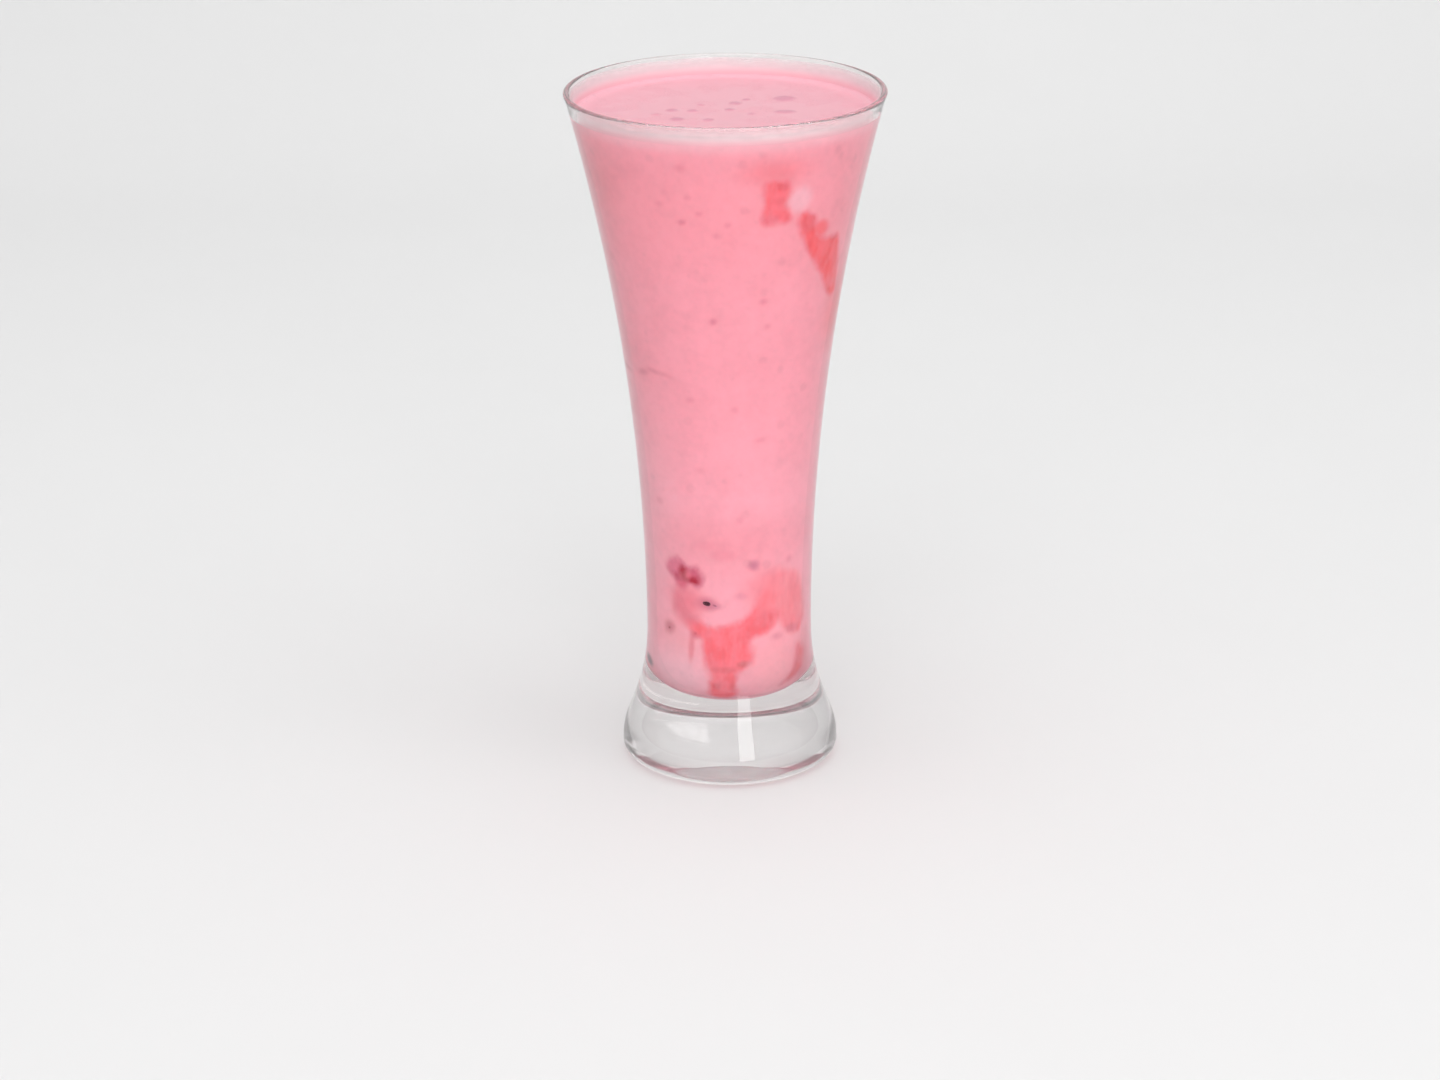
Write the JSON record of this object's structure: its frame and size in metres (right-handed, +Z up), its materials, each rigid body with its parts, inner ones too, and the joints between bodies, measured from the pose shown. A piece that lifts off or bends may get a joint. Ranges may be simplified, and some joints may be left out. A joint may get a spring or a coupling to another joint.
{
  "type": "strawberry mocha in a tall flared glass",
  "caption": "Tall flared glass with a heavy clear foot, filled almost to the rim with pink strawberry mocha and streaked inside with red fruit puree.",
  "frame": {"origin": "centre of the ring on which the glass stands", "axes": "+Z up along the glass's axis, -Y towards the front, +X to the right as seen from the front"},
  "size_m": [0.0818, 0.0818, 0.18],
  "materials": {
    "glass": "clear, polished",
    "drink": "opaque milky liquid, softly glossy",
    "puree": "wet fruit puree",
    "berry": "wet berry flesh"
  },
  "bodies": {
    "root": {"glass": "glass", "drink": "drink", "puree_base": "puree", "puree_side": "puree", "puree_blot": "puree", "puree_streak": "puree", "berry_piece": "berry"}
  },
  "joints": []
}
